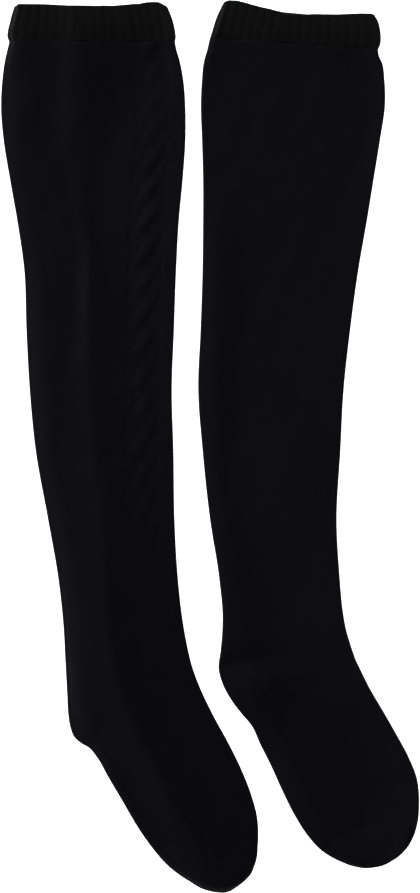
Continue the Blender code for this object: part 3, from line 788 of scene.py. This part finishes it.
# The right sock, leg and foot: the same tube, lying on its cabled side, so it shows plain knit.
# A shallow trough lies along the calf, and the cloth puffs up over the heel under a crease.
RIGHT_SOCK = [
    Section(-0.3, 375.2, 154.4, 364.9),         # cuff seam
    Section(-2.8, 364.5, 155.6, 358.5),
    Section(-5.3, 356, 158.2, 353),
    Section(-7.5, 337.5, 160.5, 336.5),
    Section(-8.5, 314.5, 161, 314.5),           # thigh, the widest place
    Section(-7.5, 282.5, 156.5, 282.5),
    Section(-6.5, 245.5, 150.5, 245.5),
    Section(-6.5, 208.5, 144.5, 208.5),
    Section(-7, 162.5, 136.5, 162.5),           # knee
    Section(-8.8, 107.5, 129, 107.5),
    Section(-11, 52.5, 123, 52.5),
    Section(-7, -3, 120, -3),                   # calf
    Section(0, -67.5, 116.5, -67.5),
    Section(8.5, -122.5, 119.2, -118.5),        # ankle
    Section(11.5, -159.5, 122, -149.5),
    Section(9.7, -187, 125.3, -168.5),          # top of the heel
    Section(7.8, -203.5, 127, -174.5),          # heel
    Section(11.5, -218, 129, -181),
    Section(19.5, -233, 131.3, -188),
    Section(28.5, -245, 134, -195.5),
    Section(37, -255, 138, -204),
    Section(46.5, -274.5, 147.5, -223),         # arch
    Section(56.5, -294.5, 159, -242.5),
    Section(66, -315.5, 170.7, -263),
    Section(77.5, -338.5, 182.8, -285.5),       # ball of the foot
    Section(90, -358, 190.6, -306.5),
    Section(104, -372.5, 192.2, -328),
    Section(120, -381.5, 190.7, -345.5),
    Section(134, -386.3, 186.5, -359),          # toe
    Section(145.5, -387.5, 180.5, -369),
    Section(155.5, -386, 174.2, -375.6),
    Section(161.2, -384.5, 170.4, -379.1),
]
RIGHT_EDGES = [
    Edge(0, 7.2, 8.3, 18), Edge(45, 6.4, 7.8, 18), Edge(110, 6.3, 7.9, 18),
    Edge(190, 5.4, 7.6, 40), Edge(300, 5.3, 7.8, 60), Edge(460, 5.3, 8.4, 60),
    Edge(540, 5.9, 8.8, 48), Edge(600, 6.4, 9.0, 40), Edge(635, 3.6, 9.2, 36),
    Edge(680, 4.9, 9.4, 34), Edge(770, 6.3, 9.6, 36), Edge(840, 6.4, 9.2, 34),
]
RIGHT_FOLDS = [
    Fold(1.0, [     # the rounded fold at the calf
        Point(6, 255, 0.0, 18, 12),
        Point(7, 199, 0.4, 26, 13),
        Point(6, 135, 0.7, 32, 14),
        Point(4, 61, 0.7, 32, 14),
        Point(5, 6, 0.7, 30, 14),
        Point(10, -49, 0.7, 34, 14),
        Point(17, -104, 0.6, 44, 14),
        Point(23, -150, 0.5, 46, 14),
        Point(24, -178, 0.2, 36, 12),
    ]),
    Fold(1.5, [     # the long hollow to its east, from which the cloth rises to the shin
        Point(32, 232, 0.0, 60, 22),
        Point(35, 172, -1.0, 70, 26),
        Point(36, 117, -1.5, 80, 30),
        Point(31, 43, -1.3, 86, 28),
        Point(27, -12, -1.3, 86, 24),
        Point(38, -67, -1.9, 74, 32),
        Point(56, -122, -2.1, 56, 42),
        Point(60, -165, -1.6, 50, 42),
        Point(62, -190, -1.2, 48, 40),
        Point(67, -214, -0.7, 46, 36),
        Point(76, -240, -0.3, 42, 30),
        Point(86, -262, 0.0, 34, 24),
    ]),
    Fold(2.0, [     # the calf's low swelling, across the leg
        Point(16, -46, 0.0, 70, 60),
        Point(44, -48, 1.4, 100, 90),
        Point(70, -50, 1.9, 110, 110),
        Point(88, -51, 1.4, 100, 100),
        Point(104, -52, 0.5, 80, 80),
        Point(113, -52, 0.0, 60, 60),
    ]),
    Fold(1.0, [     # the cloth rises to the cuff, which draws it together
        Point(0, 375, 1.8, 110, 44),
        Point(78, 370, 1.8, 110, 44),
        Point(116, 367, 1.5, 110, 44),
        Point(150, 365, 0.3, 110, 44),
    ]),
    Fold(2.0, [     # a low swelling across the ankle
        Point(12, -166, 0.3, 40, 22),
        Point(34, -172, 0.8, 44, 26),
        Point(62, -182, 0.3, 36, 22),
    ]),
    Fold(1.0, [     # the crease across the back of the ankle, above the heel
        Point(12, -195, 0.0, 14, 6),
        Point(22, -199, -1.6, 21, 7),
        Point(34, -201, -2.4, 24, 9),
        Point(47, -203, -2.4, 27, 9),
        Point(60, -207, -2.2, 34, 11),
        Point(76, -213, -1.8, 40, 14),
        Point(95, -223, -1.1, 40, 18),
        Point(114, -234, 0.0, 32, 16),
    ]),
    Fold(1.2, [     # the heel pocket, puffed up close to its edge
        Point(35, -196, 0.0, 26, 20),
        Point(36, -207, 2.6, 52, 26),
        Point(39, -219, 3.4, 72, 27),
        Point(45, -231, 2.9, 72, 22),
        Point(52, -242, 1.7, 58, 18),
        Point(60, -256, 0.6, 38, 15),
        Point(64, -264, 0.0, 26, 12),
    ]),
    Fold(1.5, [     # a hollow along the middle of the foot, between the sole and the instep
        Point(96, -212, 0.0, 30, 40),
        Point(110, -245, -1.0, 40, 56),
        Point(124, -278, -1.6, 46, 64),
        Point(137, -312, -1.7, 44, 62),
        Point(141, -340, -1.2, 38, 46),
        Point(143, -358, 0.0, 24, 30),
    ]),
    Fold(1.0, [     # the rounded fold along the sole
        Point(61, -266, 0.0, 44, 12),
        Point(75, -294, 0.6, 58, 14),
        Point(90, -320, 0.9, 60, 14),
        Point(105, -343, 0.8, 52, 14),
        Point(123, -360, 0.3, 36, 12),
        Point(140, -372, 0.0, 20, 8),
    ]),
    Fold(2.0, [     # the full end of the toe
        Point(108, -369, 0.0, 26, 6),
        Point(127, -380, 1.6, 34, 6),
        Point(147, -384, 2.6, 38, 6),
        Point(164, -379, 3.1, 40, 6),
        Point(178, -366, 2.7, 38, 6),
        Point(187, -350, 1.3, 32, 6),
        Point(191, -334, 0.0, 24, 6),
    ]),
]
PLAIN_COLUMNS = 92              # points across a plain top layer

right_tube = Tube(RIGHT_SOCK, RIGHT_EDGES, pair_shift)
down = sock_stations(right_tube)
width = right_tube.sections(down)[2]
share = np.linspace(1.0, 0.0, PLAIN_COLUMNS)
across = CALF_TURN + (width[:, None] - CALF_TURN - SHIN_TURN) * share
plan = lay_out(right_tube, down, across, 0.0 * across)
x, y = plan[:, :, 0], plan[:, :, 1]
folded = fold_rise(RIGHT_FOLDS, x, y - pair_shift[1]) + swell_rise(x, y)
plain = plain_top(right_tube, down, across, folded)
right_sock = sock_piece("right_sock_knit", right_tube, down, across, plain, 0.0 * plain, {})


def plain_relief(finish, wale, row):
    """Plain knit all over."""
    return stitch_relief(wale, row)


right_sock.data.materials.append(yarn_finish("plain_knit", YARN_DARK, YARN_LIGHT, plain_relief))
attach(right_sock, "root")
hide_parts("right_sock_leg", "right_sock_foot")
2 * right_tube.area() * MM * MM

# The cuffs: a band in three-and-three rib, knitted with elastic so that it draws in, and joined to
# the leg all round. Its free edge waves a little, and its yarn is a neutral black.
LEFT_CUFF = [
    Section(-184.6, 372.2, -32.2, 372.2),
    Section(-186.2, 376.5, -31.4, 376.5),
    Section(-185.9, 382, -32, 382),
    Section(-184.2, 389, -33.4, 389),
    Section(-182.4, 396.5, -35.8, 396.5),
    Section(-180.2, 403.6, -38.8, 403.6),
]
RIGHT_CUFF = [
    Section(-0.3, 375.2, 154.4, 364.9),
    Section(1, 379, 156.4, 369.2),
    Section(2.9, 385.3, 157, 375.6),
    Section(5.2, 392.7, 156, 384.2),
    Section(8.2, 400, 153.9, 391.6),
    Section(10.6, 404.5, 151.4, 395.4),
]

# How far the free edge stands out from a straight one, at shares of the width from the calf
Wave = namedtuple("Wave", "share rise")
LEFT_WAVE = [
    Wave(0, 0), Wave(0.03, 2.6), Wave(0.2, 2.8), Wave(0.35, 1.4), Wave(0.55, 1.4),
    Wave(0.72, 3.2), Wave(0.86, 5.4), Wave(0.94, 4.9), Wave(1, 0),
]
RIGHT_WAVE = [
    Wave(0, 0), Wave(0.02, 4.6), Wave(0.05, 6.2), Wave(0.1, 6.4), Wave(0.2, 4), Wave(0.32, 1.8),
    Wave(0.42, -1.2), Wave(0.55, -1.7), Wave(0.75, -0.6), Wave(0.9, 1.3), Wave(0.97, 1.6), Wave(1, 0),
]
LEFT_REVEAL = [                 # how far the top layer's rim falls short of the under one's
    Wave(0, 0), Wave(0.2, 0.3), Wave(0.33, 0), Wave(0.58, 0.2), Wave(0.68, 1.5),
    Wave(0.8, 1.3), Wave(0.9, 0), Wave(1, 0),
]
RIGHT_REVEAL = [
    Wave(0, 0), Wave(0.16, 0.2), Wave(0.26, 1.2), Wave(0.4, 1.6), Wave(0.5, 1.3),
    Wave(0.6, 0.2), Wave(0.8, 0), Wave(1, 0),
]
WAVE_REACH = 14.0               # length over which the waves grow towards the free edge
LEFT_CUFF_EDGES = [Edge(0, 7.4, 6.6, 24), Edge(16, 8.2, 8.4, 24), Edge(31, 7.2, 8.0, 24)]
RIGHT_CUFF_EDGES = [Edge(0, 7.2, 8.3, 18), Edge(16, 6.8, 11.4, 44), Edge(31, 5.6, 10.8, 48)]
RIBS = 17                       # across one layer
RIB_RISE = 0.18
RIB_ROUND = 0.8                 # a rib's cross-section: 1 is a sine's arch, and less is fuller
RIB_UNEVEN = 0.2                # share of the rise that comes and goes along the cuff
UNEVEN_TURNS = 23.0             # of that wave over the whole width, in radians
RIB_COLUMNS = 12                # points across one rib
RIB_DRAW_IN = 7.0               # length over which the ribs rise from the seam
RIB_AT_SEAM = 0.45              # share of their rise that they have there
Deep = namedtuple("Deep", "number extra")
LEFT_DEEP = [                   # deeper grooves, counted from the calf's fold
    Deep(1, 0.15), Deep(3, 0.18), Deep(6, 0.08), Deep(9, 0.08), Deep(13, 0.15), Deep(16, 0.25),
]
RIGHT_DEEP = [
    Deep(1, 0.08), Deep(3, 0.14), Deep(6, 0.08), Deep(9, 0.12), Deep(12, 0.08), Deep(15, 0.14),
]
DEEP_REACH = 0.45               # half the width of a deeper groove, in ribs
CUFF_BULGE = 1.0                # how far it stands up half way
BULGE_REACH = 40.0              # distance from the shin's fold at which it does so in full
CUFF_DIP = 0.15                 # how far the cuff is drawn down at its seam
CUFF_DIP_REACH = 3.0
CUFF_STEP = 1.2                 # distance of the rings down the cuff
CUFF_INSIDE_RINGS = 8
RIM_TURNS = np.radians(np.linspace(18.0, 162.0, 9))         # points over the rim, outside to inside
CUFF_DARK = (0.0092, 0.0092, 0.0094)
CUFF_LIGHT = (0.0134, 0.0134, 0.0137)
CUFF_COURSE = 1.25              # height of one row of its stitches
PURL_SUNK = 0.6                 # relief of the purl in the grooves, against that on the ribs; through the tone it also paints shade in the grooves


def cuff_piece(name, sections, edges, folds, wave, reveal, deep):
    """A ribbed cuff, which the leg's folds run on into, and the tube that it was made from."""
    tube = Tube(sections, edges, pair_shift)
    steps = int(round(tube.length / CUFF_STEP))
    down = np.linspace(0.0, tube.length - 0.5 * WALL, steps)
    width = tube.sections(down)[2]
    share = np.linspace(1.0, 0.0, RIBS * RIB_COLUMNS + 1)
    across = CALF_TURN + (width[:, None] - CALF_TURN - SHIN_TURN) * share
    rib = np.abs(np.sin(np.pi * share * RIBS)) ** RIB_ROUND
    depth = RIB_RISE * (1.0 - RIB_UNEVEN + RIB_UNEVEN * np.sin(share * UNEVEN_TURNS))
    low = sum(
        groove.extra * np.clip(1.0 - np.abs(share * RIBS - groove.number) / DEEP_REACH, 0.0, 1.0)
        for groove in deep
    )
    drawn = np.clip(down / RIB_DRAW_IN, 0.0, 1.0)[:, None]
    drawn = RIB_AT_SEAM + (1.0 - RIB_AT_SEAM) * drawn
    inward = np.minimum(across, width[:, None] - across)
    edge_fade = np.clip((inward - CALF_TURN) / CALF_TURN, 0.0, 1.0)
    bulge = CUFF_BULGE * np.sin(np.pi * down / tube.length)[:, None]
    bulge = bulge * np.clip((width[:, None] - across) / BULGE_REACH, 0.0, 1.0)
    plan = lay_out(tube, down, across, 0.0 * across)
    folded = fold_rise(folds, plan[:, :, 0], plan[:, :, 1] - pair_shift[1])
    plain = plain_top(tube, down, across, bulge + folded)
    top = plain + edge_fade * drawn * (depth * rib - low)
    dip = CUFF_DIP * np.clip(1.0 - down / CUFF_DIP_REACH, 0.0, 1.0) ** 2
    outside, stitches = outside_rings(tube, down, across, top, np.ones(steps), dip)
    facing = np.linspace(steps - 1, 0, CUFF_INSIDE_RINGS).round().astype(int)
    inside = inside_rings(tube, down[facing], across[facing], plain[facing] - dip[facing, None])
    middle = 0.5 * (outside[-1] + inside[0])
    half = 0.5 * (outside[-1] - inside[0])
    back_end, way, mouth = (values[-1] for values in tube.sections(down))
    up = np.array([-way[1], way[0], 0.0])
    rim = [middle + half * np.cos(turn) + up * 0.5 * WALL * np.sin(turn) for turn in RIM_TURNS]
    rings = np.concatenate([outside, np.array(rim), inside])
    places = np.concatenate([down, np.full(len(rim), tube.length), down[facing]])
    shares = np.clip(((rings[:, :, :2] - back_end) @ way) / mouth, 0.0, 1.0)
    level = ring_plan(tube, down[-1:], across[-1:], top[-1:])[2]
    rise = np.interp(shares, *zip(*wave)) - level * np.interp(shares, *zip(*reveal))
    fade = np.clip(1.0 - (tube.length - places) / WAVE_REACH, 0.0, 1.0) ** 2
    rings = rings + up * (rise * fade[:, None])[:, :, None]
    stitches = np.concatenate([stitches, np.repeat(stitches[-1:], len(rings) - steps, axis=0)])
    round_rim = 0.5 * np.pi * WALL * np.arange(1, len(rim) + 1) / len(rim)
    travelled = np.concatenate([down, down[-1] + round_rim, 2 * down[-1] + round_rim[-1] - down[facing]])
    rows = travelled[:, None] / CUFF_COURSE + 0.0 * stitches
    sunk = np.zeros(rings.shape[:2])
    sunk[: steps + len(rim), FIRST_TOP:FIRST_TOP + len(share)] = 1.0 - rib
    piece = knit_piece(name, rings, stitches, rows, {"groove": sunk}, False)
    return piece, tube


def ribbed_relief(finish, wale, row):
    """Plain stitches on the ribs and purl bars in the grooves."""
    groove = finish.mark("groove")
    # the grooves' lower relief also makes their colour darker, a painted shade
    return stitch_relief(wale, row) * (1.0 - groove) + purl_relief(wale, row) * groove * PURL_SUNK


rib_knit = yarn_finish("ribbed_knit", CUFF_DARK, CUFF_LIGHT, ribbed_relief)
for side, sections, edges, folds, wave, reveal, deep in (
    ("left", LEFT_CUFF, LEFT_CUFF_EDGES, LEFT_FOLDS, LEFT_WAVE, LEFT_REVEAL, LEFT_DEEP),
    ("right", RIGHT_CUFF, RIGHT_CUFF_EDGES, RIGHT_FOLDS, RIGHT_WAVE, RIGHT_REVEAL, RIGHT_DEEP),
):
    cuff, tube = cuff_piece(f"{side}_sock_rib", sections, edges, folds, wave, reveal, deep)
    cuff.data.materials.append(rib_knit)
    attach(cuff, "root")
    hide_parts(f"{side}_sock_cuff")
    2 * tube.area() * MM * MM
